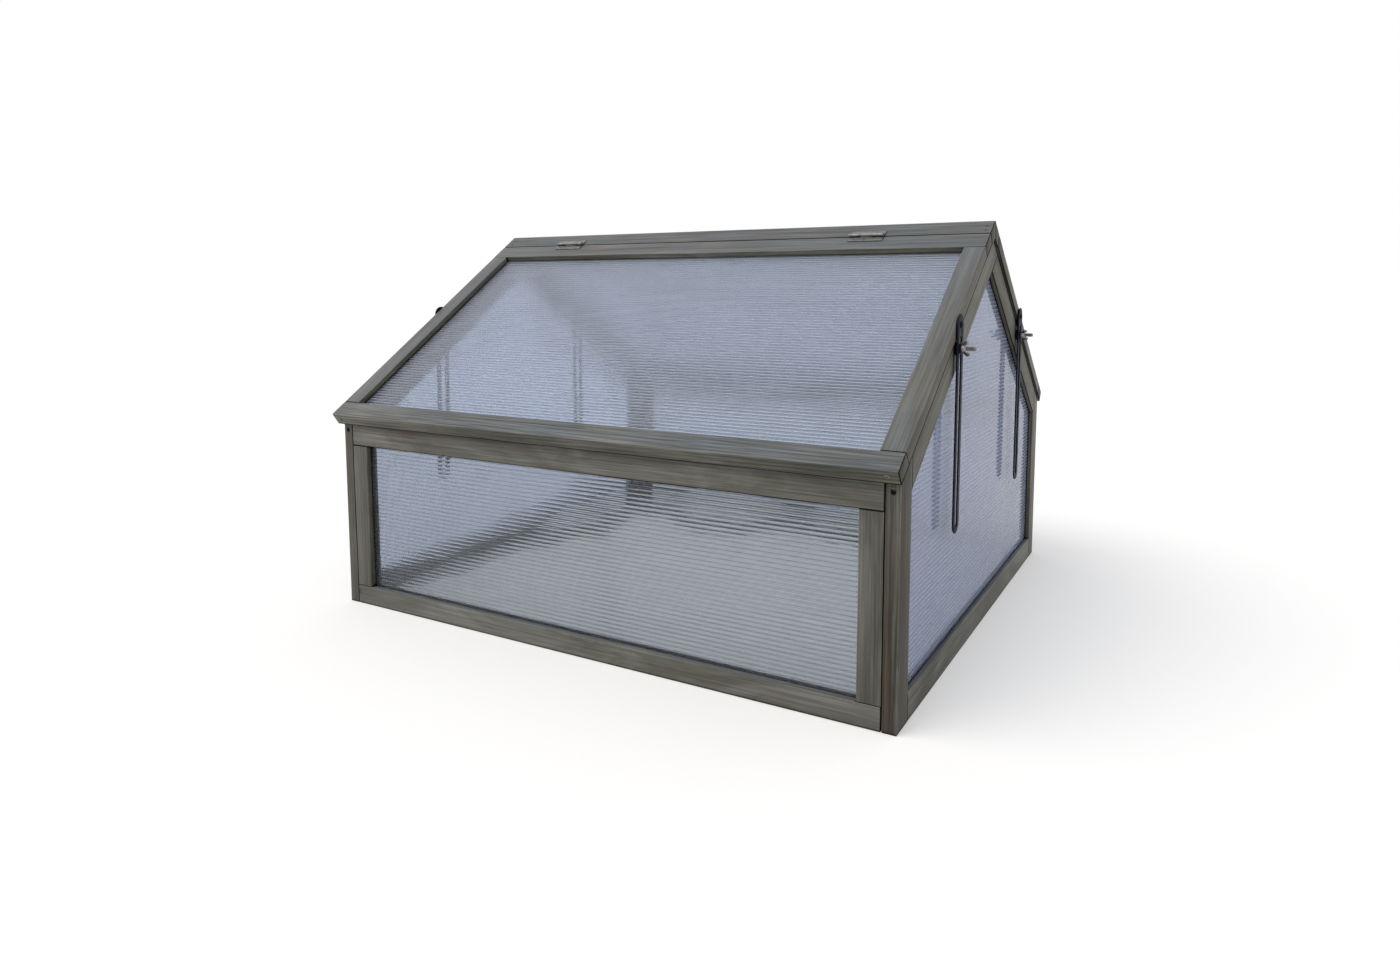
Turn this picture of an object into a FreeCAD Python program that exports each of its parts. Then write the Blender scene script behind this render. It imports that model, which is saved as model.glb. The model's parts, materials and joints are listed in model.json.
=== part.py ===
import FreeCAD, Part
import os
import Sketcher

# Wooden cold frame with two lids. X runs along the front, Y goes from the front wall to the back
# wall, Z is up. The origin is on the ground, under the middle of the ridge. Lengths are in mm.

doc = FreeCAD.newDocument("ColdFrame")
sheet = doc.addObject("Spreadsheet::Sheet", "Sizes")

SIZES = (
    ("base_width", 888, "over the outer faces of the two gables"),
    ("base_depth", 800, "front face to back face"),
    ("wall_height", 287, "ground to the roof line at the front face"),
    ("roof_slope", 34.4, "degrees"),
    ("gable_thick", 17.5, "thickness of the gable timbers"),
    ("gable_post", 39, "width of a corner post, seen from the side"),
    ("gable_rafter", 38, "width of a rafter, square to the slope"),
    ("gable_rail", 35, "height of a gable's bottom rail"),
    ("wall_thick", 20, "thickness of the front and back wall frames"),
    ("wall_top_rail", 37, "height"),
    ("wall_bottom_rail", 29, "height"),
    ("wall_stile", 29.5, "width"),
    ("wall_gap", 1, "between a wall frame and the post beside it"),
    ("lid_thick", 20, "thickness of the lid frames"),
    ("lid_eave", 23.2, "lid past the wall's face, down the slope"),
    ("lid_overhang", 3, "lid beyond the gable's outer face"),
    ("lid_top_rail", 33.5, "width"),
    ("lid_bottom_rail", 30, "width"),
    ("lid_stile", 30, "width"),
    ("ridge_plank", 33.5, "width of a ridge plank, down the slope"),
    ("hinge_gap", 1.4, "between a ridge plank and its lid"),
    ("rest_gap", 0.8, "between a closed lid and the timbers under it"),
    ("pane_thick", 4, "twin-wall sheet"),
    ("pane_skin", 0.4, "each of the sheet's two walls"),
    ("pane_rib", 0.4, "ribs between the two walls"),
    ("rib_pitch", 5.9, "rib to rib"),
    ("frame_setback", 10, "pane behind the face of a wall or lid frame"),
    ("gable_setback", 8, "pane behind the face of a gable"),
    ("pane_grip", 7.5, "pane inside the groove of its frame"),
    ("pane_slack", 0.5, "edge of the pane to the bottom of its groove"),
    ("pane_play", 0.1, "face of the pane to the side of its groove"),
    ("screw_head", 3.2, "radius of a countersunk wood screw's head"),
    ("screw_shank", 1.6, "radius"),
    ("screw_length", 55, "frame joints"),
    ("plank_screw", 28, "length of a ridge plank's screw"),
    ("screw_sink", 0.4, "head below the wood's face"),
    ("counterbore", 0.1, "hole round a sunk head, wider than the head"),
    ("eave_screw_drop", 14, "screw in a post, below the roof line"),
    ("plank_screw_low", 16.5, "upper screw of a ridge plank, below the ridge"),
    ("plank_screw_step", 11, "between the two screws at a plank's end"),
    ("plank_screw_shift", 3, "keeps the screws of the two planks apart"),
    ("hinge_right", 266, "middle of the right hinge, from the centre"),
    ("hinge_left", 290, "middle of the left hinge, from the centre"),
    ("hinge_length", 54, "along the pin"),
    ("leaf_width", 13, "hinge axis to the edge of a leaf"),
    ("leaf_thick", 1.4, "sheet steel"),
    ("knuckle_radius", 2.8, "outside of the rolled knuckle"),
    ("knuckle_lift", 0.4, "knuckle above the wood"),
    ("pin_radius", 1.5, "hinge pin"),
    ("running_fit", 0.05, "radial clearance of a turning fit"),
    ("end_gap", 0.3, "between faces that pass each other"),
    ("leaf_screw_head", 2.6, "radius"),
    ("leaf_screw_shank", 1.3, "radius"),
    ("leaf_screw_length", 14, "from the face of the leaf"),
    ("leaf_screw_inset", 9, "from the end of the leaf"),
    ("stay_station", 189, "stay bolts and pivots, from the ridge line along Y"),
    ("bolt_drop", 13.3, "bolt below the rafter's upper edge"),
    ("pivot_depth", 9.5, "pivot below the lid's upper face"),
    ("bolt_radius", 3, "thread of the stay bolt"),
    ("bolt_reach", 25.5, "tip of the bolt outside the gable"),
    ("bolt_head_radius", 7, "inside the gable"),
    ("bolt_head_height", 3.5, "domed head"),
    ("bolt_head_top", 4.2, "radius of the flat on top of the head"),
    ("stay_width", 27, "across the slotted bar"),
    ("stay_leg", 8.5, "strip each side of the slot"),
    ("stay_thick", 2, "sheet steel"),
    ("stay_length", 280, "end to end"),
    ("stay_standoff", 0.8, "between the bar and the side of the lid"),
    ("slot_top", 19, "pivot to the centre of the slot's upper end"),
    ("washer_radius", 8, "spans the slot"),
    ("washer_thick", 1.2, "under the wing nut"),
    ("pivot_radius", 2.2, "pivot screw"),
    ("pivot_head_radius", 4.5, "pan head"),
    ("pivot_head_height", 1.8, "pan head"),
    ("pivot_head_top", 3.2, "radius of the flat on top of the head"),
    ("nut_radius", 5.2, "hub of the wing nut at its foot"),
    ("nut_top", 4.2, "hub of the wing nut at its top"),
    ("nut_height", 5.5, "hub of the wing nut"),
    ("wing_span", 10.5, "axis to the tip of a wing"),
    ("wing_height", 4.2, "tip of a wing beyond the hub"),
    ("wing_thick", 2, "cast wing"),
    ("wing_foot", 0.6, "wing above the foot of the hub"),
    ("wing_tip", 2.1, "rounding of a wing's tip"),
    ("front_nut_turn", 25, "degrees, wings from upright on the front stays"),
    ("back_nut_turn", 40, "degrees, wings from upright on the back stays"),
)

for row, (alias, value, note) in enumerate(SIZES, 1):
    sheet.set(f"A{row}", alias)
    sheet.set(f"B{row}", str(value))
    sheet.set(f"C{row}", note)
    sheet.setAlias(f"B{row}", alias)
doc.recompute()

nodes = []

# Formulas that several pieces share. A formula is a string of sheet aliases.
slope = "Sizes.roof_slope"
half_width = "(Sizes.base_width / 2)"
half_depth = "(Sizes.base_depth / 2)"
lid_width = "(Sizes.base_width + 2 * Sizes.lid_overhang)"
roof_thick = "(Sizes.lid_thick + Sizes.rest_gap)"
lid_reach = f"({half_depth} / cos({slope}) + Sizes.lid_eave)"
eave_to_peak = f"({half_depth} * tan({slope}))"
peak = f"(Sizes.wall_height + {eave_to_peak})"
ridge = f"({peak} + {roof_thick} / cos({slope}))"
rafter_drop = f"(Sizes.gable_rafter / cos({slope}))"
groove_reach = "(Sizes.pane_grip + Sizes.pane_slack)"


def at(x="0", y="0", z="0", turn="rotationx(0)"):
    return f"placement(vector({x}; {y}; {z}); {turn})"


def bind(thing, **formulas):
    for name, formula in formulas.items():
        thing.setExpression(name, formula)
    return thing


def value_of(formula):
    answer = sheet.evalExpression(formula)
    return float(getattr(answer, "Value", answer))


def node(thing, label):
    thing.Label = label
    nodes.append(thing)
    return thing


def block(name, length, width, height, place):
    thing = doc.addObject("Part::Box", name)
    return bind(thing, Length=length, Width=width, Height=height, Placement=place)


def cylinder(name, radius, height, place):
    thing = doc.addObject("Part::Cylinder", name)
    return bind(thing, Radius=radius, Height=height, Placement=place)


def cone(name, foot, top, height, place):
    thing = doc.addObject("Part::Cone", name)
    return bind(thing, Radius1=foot, Radius2=top, Height=height, Placement=place)


def fuse(name, shapes):
    thing = doc.addObject("Part::MultiFuse", name)
    thing.Shapes = shapes
    return thing


def group(name, shapes):
    thing = doc.addObject("Part::Compound", name)
    thing.Links = shapes
    return thing


def cut(name, base, tools):
    thing = doc.addObject("Part::Cut", name)
    thing.Base = base
    thing.Tool = group(name + "_cutters", tools) if len(tools) > 1 else tools[0]
    return thing


def draw(body, name, plane, corners):
    """A closed outline on one of the body's own planes, each corner held by two formulas."""
    sketch = body.newObject("Sketcher::SketchObject", name)
    sketch.AttachmentSupport = [(origin_item(body, plane), "")]
    sketch.MapMode = "FlatFace"
    points = [FreeCAD.Vector(value_of(x), value_of(y), 0) for x, y in corners]
    count = len(points)
    for i in range(count):
        sketch.addGeometry(Part.LineSegment(points[i], points[(i + 1) % count]), False)
    for i in range(count):
        sketch.addConstraint(Sketcher.Constraint("Coincident", i, 2, (i + 1) % count, 1))
    for i, (x, y) in enumerate(corners):
        across = sketch.addConstraint(Sketcher.Constraint("DistanceX", -1, 1, i, 1, points[i].x))
        sketch.setExpression(f"Constraints[{across}]", x)
        upward = sketch.addConstraint(Sketcher.Constraint("DistanceY", -1, 1, i, 1, points[i].y))
        sketch.setExpression(f"Constraints[{upward}]", y)
    return sketch


def origin_item(body, role):
    return next(item for item in body.Origin.OriginFeatures if item.Role == role)


def plate(name, corners, face, depth, frame):
    """A flat piece: an outline in the frame's XY plane, from face down to face - depth."""
    body = doc.addObject("PartDesign::Body", name)
    sketch = draw(body, name + "_outline", "XY_Plane", corners)
    sketch.setExpression("AttachmentOffset.Base.z", face)
    pad = body.newObject("PartDesign::Pad", name + "_pad")
    pad.Profile = sketch
    pad.Reversed = True
    bind(pad, Length=depth)
    return bind(body, Placement=frame)


def pane(name, corners, face, low, high, frame):
    """A twin-wall sheet whose channels run along the frame's X, from low to high."""
    body = plate(name, corners, face, "Sizes.pane_thick", frame)
    outer = f"({face} - Sizes.pane_skin)"
    inner = f"({face} - Sizes.pane_thick + Sizes.pane_skin)"
    first = f"({low} + Sizes.pane_rib)"
    channel = draw(body, name + "_channel", "YZ_Plane",
                   rectangle(first, f"({low} + Sizes.rib_pitch)", inner, outer))
    pocket = body.newObject("PartDesign::Pocket", name + "_pocket")
    pocket.Profile = channel
    pocket.SideType = "Symmetric"
    pocket.Type = "ThroughAll"
    channels = body.newObject("PartDesign::LinearPattern", name + "_channels")
    channels.Originals = [pocket]
    channels.Direction = (origin_item(body, "Y_Axis"), [""])
    channels.Mode = "Spacing"
    bind(channels, Offset="Sizes.rib_pitch",
         Occurrences=f"floor(({high} - ({low}) - Sizes.pane_rib) / Sizes.rib_pitch)")
    body.Tip = channels
    return node(body, name)


def rectangle(left, right, low, high):
    return ((left, low), (right, low), (right, high), (left, high))


def countersunk(name, head, shank, length, place):
    """A screw whose head is flush with the place's XY plane and whose shank points down."""
    rim = cone(name + "_head", shank, head, f"({head} - {shank})",
               f"{place} * {at(z=f'-({head} - {shank})')}")
    stem = cylinder(name + "_stem", shank, length, f"{place} * {at(z=f'-({length})')}")
    return fuse(name, [rim, stem])


def wood_screw(name, length, place, sink="Sizes.screw_sink"):
    """A sunk screw, and the cutter that makes its hole."""
    seat = f"{place} * {at(z=f'-({sink})')}"
    screw = countersunk(name, "Sizes.screw_head", "Sizes.screw_shank", length, seat)
    mouth = cylinder(name + "_mouth", "(Sizes.screw_head + Sizes.counterbore)",
                     "(3 * Sizes.screw_head)", seat)
    return screw, group(name + "_hole", [screw, mouth])


def framed_panel(name, frame, wide, high, thick, top_rail, bottom_rail, stile):
    """A rail and stile frame round a pane. The frame's XY plane is its face, Y = 0 its foot."""
    side = f"({wide} / 2)"
    inside = f"({side} - {stile})"
    ceiling = f"({high} - {top_rail})"
    groove = plate(name + "_groove",
                   rectangle(f"-({inside} + {groove_reach})", f"{inside} + {groove_reach}",
                             f"{bottom_rail} - {groove_reach}", f"{ceiling} + {groove_reach}"),
                   "-(Sizes.frame_setback - Sizes.pane_play)",
                   "Sizes.pane_thick + 2 * Sizes.pane_play", frame)
    screws = []
    holes = []
    for sign, hand in (("-", "left"), ("", "right")):
        across = f"{sign}({side} - {stile} / 2)"
        for edge, level, turn in (("foot", "0", "rotationx(90)"), ("head", high, "rotationx(-90)")):
            place = f"{frame} * {at(across, level, f'-({thick} / 2)', turn)}"
            screw, hole = wood_screw(f"{name}_{hand}_{edge}_screw", "Sizes.screw_length", place)
            screws.append(screw)
            holes.append((hand, edge, hole))

    def holes_at(place):
        return [hole for hand, edge, hole in holes if place in (hand, edge)]

    pieces = {}
    for label, outline, extra in (
            ("bottom_rail", rectangle(f"-{side}", side, "0", bottom_rail), holes_at("foot")),
            ("top_rail", rectangle(f"-{side}", side, ceiling, high), holes_at("head")),
            ("left_stile", rectangle(f"-{side}", f"-{inside}", bottom_rail, ceiling),
             holes_at("left")),
            ("right_stile", rectangle(inside, side, bottom_rail, ceiling),
             holes_at("right"))):
        blank = plate(f"{name}_{label}_blank", outline, "0", thick, frame)
        pieces[label] = (blank, [groove] + extra)
    low = f"({bottom_rail} - Sizes.pane_grip)"
    top = f"({ceiling} + Sizes.pane_grip)"
    pane(name + "_pane",
         rectangle(f"-({inside} + Sizes.pane_grip)", f"{inside} + Sizes.pane_grip", low, top),
         "-Sizes.frame_setback", low, top, frame)
    return pieces, screws


def finish_timbers(name, pieces, extra=None):
    for label, (blank, cutters) in pieces.items():
        more = (extra or {}).get(label, [])
        node(cut(f"{name}_{label}", blank, cutters + more), f"{name}_{label}")


def roof_line(distance):
    """Height of the gable's upper edge at a distance from the ridge line."""
    return f"({peak} - ({distance}) * tan({slope}))"


def gable(name, near, far, frame, plank_holes):
    """A gable frame, X along its foot and Y up. The near rafter runs through at the peak."""
    post_inside = f"({half_depth} - Sizes.gable_post)"
    grooved = f"({post_inside} + {groove_reach})"
    gripped = f"({post_inside} + Sizes.pane_grip)"
    thick = "Sizes.gable_thick"

    def under_rafter(distance, overlap):
        return f"({roof_line(distance)} - {rafter_drop} + {overlap} / cos({slope}))"

    def pentagon(reach, overlap):
        low = f"Sizes.gable_rail - {overlap}"
        eave = under_rafter(reach, overlap)
        return ((f"-{reach}", low), (reach, low), (reach, eave),
                ("0", under_rafter("0", overlap)), (f"-{reach}", eave))

    groove = plate(name + "_groove", pentagon(grooved, groove_reach),
                   "-(Sizes.gable_setback - Sizes.pane_play)",
                   "Sizes.pane_thick + 2 * Sizes.pane_play", frame)
    screws = []
    holes = {}
    for sign, hand, mirror in (("-", near, ""), ("", far, "rotationy(180) * ")):
        eave_z = "(Sizes.wall_height - Sizes.eave_screw_drop)"
        eave = f"{frame} * {at(f'{sign}{half_depth}', eave_z, f'-{thick} / 2')}"
        eave = eave + f" * {at(turn=f'{mirror}rotationz({slope}) * rotationy(-90)')}"
        screw, hole = wood_screw(f"{name}_{hand}_eave_screw", "Sizes.screw_length", eave,
                                 f"(Sizes.screw_head * tan({slope}) + Sizes.screw_sink)")
        screws.append(screw)
        holes[hand] = hole

    overshoot = f"(Sizes.gable_rafter / (2 * sin({slope})))"
    outlines = (
        (f"{near}_post", ((f"-{half_depth}", "0"), (f"-{post_inside}", "0"),
                          (f"-{post_inside}", roof_line(post_inside)),
                          (f"-{half_depth}", "Sizes.wall_height")), [holes[near]]),
        (f"{far}_post", ((post_inside, "0"), (half_depth, "0"),
                         (half_depth, "Sizes.wall_height"),
                         (post_inside, roof_line(post_inside))), [holes[far]]),
        ("bottom_rail", rectangle(f"-{post_inside}", post_inside, "0", "Sizes.gable_rail"), []),
        (f"{near}_rafter", ((f"-{post_inside}", under_rafter(post_inside, "0")),
                            (overshoot, roof_line(overshoot)), ("0", peak),
                            (f"-{post_inside}", roof_line(post_inside))),
         [holes[near]] + plank_holes),
        (f"{far}_rafter", ((overshoot, roof_line(overshoot)), ("0", under_rafter("0", "0")),
                           (post_inside, under_rafter(post_inside, "0")),
                           (post_inside, roof_line(post_inside))), [holes[far]]),
    )
    pieces = {}
    for label, outline, extra in outlines:
        blank = plate(f"{name}_{label}_blank", outline, "0", thick, frame)
        pieces[label] = (blank, [groove] + extra)
    pane(name + "_pane", pentagon(gripped, "Sizes.pane_grip"), "-Sizes.gable_setback",
         "(Sizes.gable_rail - Sizes.pane_grip)",
         f"({under_rafter('0', 'Sizes.pane_grip')} - Sizes.rib_pitch)", frame)
    return pieces, screws


def ridge_plank(side, frame):
    """A plank on one slope, mitred to the other along the ridge, with two screws at each end."""
    end = f"({lid_width} / 2)"
    profile = (("0", "0"),
               ("0", f"-{roof_thick} / cos({slope})"),
               (f"-Sizes.ridge_plank * cos({slope}) + {roof_thick} * sin({slope})",
                f"-Sizes.ridge_plank * sin({slope}) - {roof_thick} * cos({slope})"),
               (f"-Sizes.ridge_plank * cos({slope})", f"-Sizes.ridge_plank * sin({slope})"))
    turn = "rotationz(0)" if side == "front" else "rotationz(180)"
    across = at(end, "0", "0", "rotation(vector(1; 1; 1); 120)")
    blank = plate(f"{side}_ridge_plank_blank", profile, "0", lid_width,
                  f"{at(z=ridge, turn=turn)} * {across}")
    middle = f"({half_width} - Sizes.gable_thick / 2)"
    screws = []
    holes = {"right": [], "left": []}
    for sign, hand, shift in (("", "right", "+"), ("-", "left", "-")):
        world = hand if side == "front" else ("left" if hand == "right" else "right")
        for step in ("0", "1"):
            low = f"-(Sizes.plank_screw_low + {step} * Sizes.plank_screw_step)"
            spot = at(f"{sign}({middle} {shift} Sizes.plank_screw_shift)", low)
            screw, hole = wood_screw(f"{side}_plank_{hand}_screw_{step}", "Sizes.plank_screw",
                                     f"{frame} * {spot}")
            screws.append(screw)
            holes[world].append(hole)
    return blank, screws, holes


def hinge(name, frame, owner):
    """A butt hinge laid on the roof. X is the pin, +Y the leaf on the plank, -Y on the lid."""
    radius = "Sizes.knuckle_radius"
    length = "Sizes.hinge_length"
    axis_z = f"(Sizes.knuckle_lift + {radius})"
    neck = f"({radius} + 2 * Sizes.end_gap)"
    third = f"({length} / 3)"
    along = "rotationy(90)"
    screw_y = f"(({neck} + Sizes.leaf_width) / 2)"
    screw_x = f"({length} / 2 - Sizes.leaf_screw_inset)"

    def leaf(part, sign, spans):
        low = neck if sign == "" else "-Sizes.leaf_width"
        shapes = [block(f"{name}_{part}_plate", length, f"(Sizes.leaf_width - {neck})",
                        "Sizes.leaf_thick", f"{frame} * {at(f'-{length} / 2', low)}")]
        for i, (start, run) in enumerate(spans):
            low = "0" if sign == "" else f"-{neck}"
            shapes.append(block(f"{name}_{part}_neck_{i}", run, neck, "Sizes.leaf_thick",
                                f"{frame} * {at(start, low, 'Sizes.knuckle_lift')}"))
            shapes.append(cylinder(f"{name}_{part}_knuckle_{i}", radius, run,
                                   f"{frame} * {at(start, '0', axis_z, along)}"))
        screws = [countersunk(f"{name}_{part}_screw_{i}", "Sizes.leaf_screw_head",
                              "Sizes.leaf_screw_shank", "Sizes.leaf_screw_length",
                              f"{frame} * {at(x, sign + screw_y, 'Sizes.leaf_thick')}")
                  for i, x in enumerate((f"-{screw_x}", screw_x))]
        return fuse(f"{name}_{part}_blank", shapes), screws

    outer = ((f"-{length} / 2", third), (f"{length} / 6", third))
    inner = ((f"-{length} / 6 + Sizes.end_gap", f"({third} - 2 * Sizes.end_gap)"),)
    plank_blank, plank_screws = leaf("plank_leaf", "", outer)
    lid_blank, lid_screws = leaf("lid_leaf", "-", inner)
    place = f"{frame} * {at(f'-{length} / 2', '0', axis_z, along)}"
    pin = cylinder(f"{name}_pin", "Sizes.pin_radius", length, place)
    plank_bore = cylinder(f"{name}_plank_bore", "Sizes.pin_radius", length, place)
    lid_bore = cylinder(f"{name}_lid_bore", "(Sizes.pin_radius + Sizes.running_fit)", length, place)
    owner["pins"].append(pin)
    owner["plank_leaves"].append(cut(f"{name}_plank_leaf", plank_blank, [plank_bore] + plank_screws))
    owner["lid_leaves"].append(cut(f"{name}_lid_leaf", lid_blank, [lid_bore] + lid_screws))
    return plank_screws, lid_screws


def wing_nut(name, frame, foot, turn):
    """The nut's axis is X. Its wings stand up and down before they are turned."""
    along = "rotationy(90)"
    seat = f"{frame} * {at(foot, turn=f'rotationx({turn})')}"
    hub = cone(f"{name}_hub", "Sizes.nut_radius", "Sizes.nut_top", "Sizes.nut_height",
               f"{seat} * {at(turn=along)}")
    tip = "(Sizes.nut_height + Sizes.wing_height)"
    root = "((Sizes.bolt_radius + Sizes.nut_top) / 2)"
    crotch = "(Sizes.nut_height - Sizes.wing_foot)"
    outline = ((root, "Sizes.wing_foot"), ("Sizes.nut_radius", "Sizes.wing_foot"),
               ("Sizes.wing_span", "(Sizes.nut_height - Sizes.wing_tip / 2)"),
               ("Sizes.wing_span", f"({tip} - Sizes.wing_tip)"),
               ("(Sizes.wing_span - Sizes.wing_tip)", tip),
               ("(Sizes.wing_span - 2 * Sizes.wing_tip)", tip),
               ("Sizes.nut_radius", crotch), (root, crotch))
    # the outline's X runs out along the wing and its Y along the bolt
    wings = [plate(f"{name}_wing_{i}", outline, "(Sizes.wing_thick / 2)", "Sizes.wing_thick",
                   f"{seat} * {at(turn=flip + ' * rotation(vector(1; 1; 1); 240)')}")
             for i, flip in enumerate(("rotationx(0)", "rotationx(180)"))]
    blank = fuse(f"{name}_blank", [hub] + wings)
    bore = cylinder(f"{name}_bore", "(Sizes.bolt_radius + Sizes.running_fit)",
                    "(2 * Sizes.nut_height)", f"{seat} * {at('-Sizes.nut_height / 2', turn=along)}")
    return cut(name, blank, [bore])


def stay_set(name, frame, turn, owner):
    """A slotted stay on its bolt. X points out from the gable's face, Z up, origin on the bolt."""
    along = "rotationy(90)"
    inner_face = "(Sizes.lid_overhang + Sizes.stay_standoff)"
    outer_face = f"({inner_face} + Sizes.stay_thick)"
    washer_foot = f"({outer_face} + Sizes.end_gap)"
    nut_foot = f"({washer_foot} + Sizes.washer_thick + Sizes.end_gap)"
    pivot = f"(({roof_thick} - Sizes.pivot_depth + Sizes.bolt_drop) / cos({slope}))"
    end_radius = "(Sizes.stay_width / 2)"
    span = "(Sizes.stay_length - Sizes.stay_width)"
    slot_radius = f"({end_radius} - Sizes.stay_leg)"
    slot_span = f"({span} - Sizes.slot_top)"

    bolt = fuse(f"{name}_bolt", [
        cylinder(f"{name}_bolt_stem", "Sizes.bolt_radius", "(Sizes.gable_thick + Sizes.bolt_reach)",
                 f"{frame} * {at('-Sizes.gable_thick', turn=along)}"),
        cone(f"{name}_bolt_head", "Sizes.bolt_head_top", "Sizes.bolt_head_radius",
             "Sizes.bolt_head_height",
             f"{frame} * {at('-(Sizes.gable_thick + Sizes.bolt_head_height)', turn=along)}")])
    hole = cylinder(f"{name}_bolt_hole", "Sizes.bolt_radius", "(2 * Sizes.gable_thick)",
                    f"{frame} * {at('-1.5 * Sizes.gable_thick', turn=along)}")

    def ring(part, foot, thick):
        disc = cylinder(f"{name}_{part}_disc", "Sizes.washer_radius", thick,
                        f"{frame} * {at(foot, turn=along)}")
        bore = cylinder(f"{name}_{part}_bore", "(Sizes.bolt_radius + Sizes.running_fit)",
                        f"(2 * {thick})", f"{frame} * {at(f'{foot} - {thick} / 2', turn=along)}")
        return cut(f"{name}_{part}", disc, [bore])

    spacer = ring("spacer", "0", f"({inner_face} - Sizes.end_gap)")
    washer = ring("washer", washer_foot, "Sizes.washer_thick")

    def slab(part, radius, low, high, x, thick):
        straight = block(f"{name}_{part}_straight", thick, f"(2 * {radius})", f"({high} - ({low}))",
                         f"{frame} * {at(x, f'-{radius}', low)}")
        ends = [cylinder(f"{name}_{part}_end_{i}", radius, thick,
                         f"{frame} * {at(x, '0', level, along)}")
                for i, level in enumerate((low, high))]
        return fuse(f"{name}_{part}", [straight] + ends)

    bar = slab("bar", end_radius, f"({pivot} - {span})", pivot, inner_face, "Sizes.stay_thick")
    slot = slab("slot", slot_radius, f"({pivot} - {span})", f"({pivot} - Sizes.slot_top)",
                f"({inner_face} - Sizes.stay_thick)", "(3 * Sizes.stay_thick)")
    eye = cylinder(f"{name}_eye", "(Sizes.pivot_radius + Sizes.running_fit)",
                   "(3 * Sizes.stay_thick)",
                   f"{frame} * {at(f'({inner_face} - Sizes.stay_thick)', '0', pivot, along)}")
    node(cut(f"{name}_stay", bar, [slot, eye]), f"{name}_stay")
    # the pivot screw stays with the bar, and stops just short of the side of the lid
    stem_foot = "(Sizes.lid_overhang + Sizes.end_gap)"
    stem = cylinder(f"{name}_pivot_stem", "Sizes.pivot_radius", f"({outer_face} - {stem_foot})",
                    f"{frame} * {at(stem_foot, '0', pivot, along)}")
    head = cone(f"{name}_pivot_head", "Sizes.pivot_head_radius", "Sizes.pivot_head_top",
                "Sizes.pivot_head_height", f"{frame} * {at(outer_face, '0', pivot, along)}")
    node(fuse(f"{name}_pivot_screw", [stem, head]), f"{name}_pivot_screw")
    node(wing_nut(f"{name}_wing_nut", frame, nut_foot, turn), f"{name}_wing_nut")
    owner["bolts"].append(bolt)
    owner["spacers"].append(spacer)
    owner["washers"].append(washer)
    return hole


front_slope = at(z=ridge, turn=f"rotationx({slope})")
back_slope = at(z=ridge, turn=f"rotationz(180) * rotationx({slope})")
slopes = {"front": front_slope, "back": back_slope}
root_screws = []

# Front and back walls: the back wall is the front one turned half round
for side, turn, sign in (("front", "rotationx(90)", "-"),
                         ("back", "rotationz(180) * rotationx(90)", "")):
    name = side + "_wall"
    pieces, screws = framed_panel(
        name, at(y=f"{sign}{half_depth}", turn=turn),
        "(Sizes.base_width - 2 * Sizes.gable_thick - 2 * Sizes.wall_gap)", "Sizes.wall_height",
        "Sizes.wall_thick", "Sizes.wall_top_rail", "Sizes.wall_bottom_rail", "Sizes.wall_stile")
    finish_timbers(name, pieces)
    root_screws += screws

# Ridge planks and the hinges between them and the lids
hardware = {key: [] for key in ("pins", "plank_leaves", "bolts", "spacers", "washers")}
plank_holes = {"right": [], "left": []}
ridge_hinge_screws = []
hinge_y = "-(Sizes.ridge_plank + Sizes.hinge_gap / 2)"
lid_leaves = {}
lid_leaf_screws = {}
for side, frame in slopes.items():
    blank, screws, holes = ridge_plank(side, frame)
    root_screws += screws
    for hand in holes:
        plank_holes[hand] += holes[hand]
    owner = dict(hardware, lid_leaves=[])
    leaf_screws = []
    lid_leaf_screws[side] = []
    for hand, sign in (("right", ""), ("left", "-")):
        # the turned frame of the back slope swaps left and right
        x = f"{sign}Sizes.hinge_{hand}" if side == "front" else (
            f"-Sizes.hinge_{hand}" if sign == "" else f"Sizes.hinge_{hand}")
        on_plank, on_lid = hinge(f"{side}_{hand}_hinge", f"{frame} * {at(x, hinge_y)}", owner)
        leaf_screws += on_plank
        lid_leaf_screws[side] += on_lid
    lid_leaves[side] = owner["lid_leaves"]
    ridge_hinge_screws += leaf_screws
    node(cut(f"{side}_ridge_plank", blank, holes["right"] + holes["left"] + leaf_screws),
         f"{side}_ridge_plank")

# Lids: the back lid is the front one turned half round
for side, frame in slopes.items():
    name = side + "_lid"
    pieces, screws = framed_panel(
        name, f"{frame} * {at(y=f'-{lid_reach}')}", lid_width,
        f"({lid_reach} - Sizes.ridge_plank - Sizes.hinge_gap)",
        "Sizes.lid_thick", "Sizes.lid_top_rail", "Sizes.lid_bottom_rail", "Sizes.lid_stile")
    finish_timbers(name, pieces, {"top_rail": lid_leaf_screws[side]})
    node(group(name + "_frame_screws", screws), name + "_frame_screws")
    node(group(name + "_hinge_leaves", lid_leaves[side]), name + "_hinge_leaves")
    node(group(name + "_hinge_screws", lid_leaf_screws[side]), name + "_hinge_screws")

# Stays, bolts and wing nuts at the four corners of the roof
bolt_z = f"({roof_line('Sizes.stay_station')} - Sizes.bolt_drop / cos({slope}))"
bolt_holes = {}
for hand, x, turn in (("right", half_width, "rotationz(0)"),
                      ("left", f"-{half_width}", "rotationz(180)")):
    for side, sign in (("front", "-"), ("back", "")):
        frame = at(x, f"{sign}Sizes.stay_station", bolt_z, turn)
        bolt_holes[side, hand] = stay_set(f"{side}_{hand}", frame, f"Sizes.{side}_nut_turn", hardware)

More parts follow.
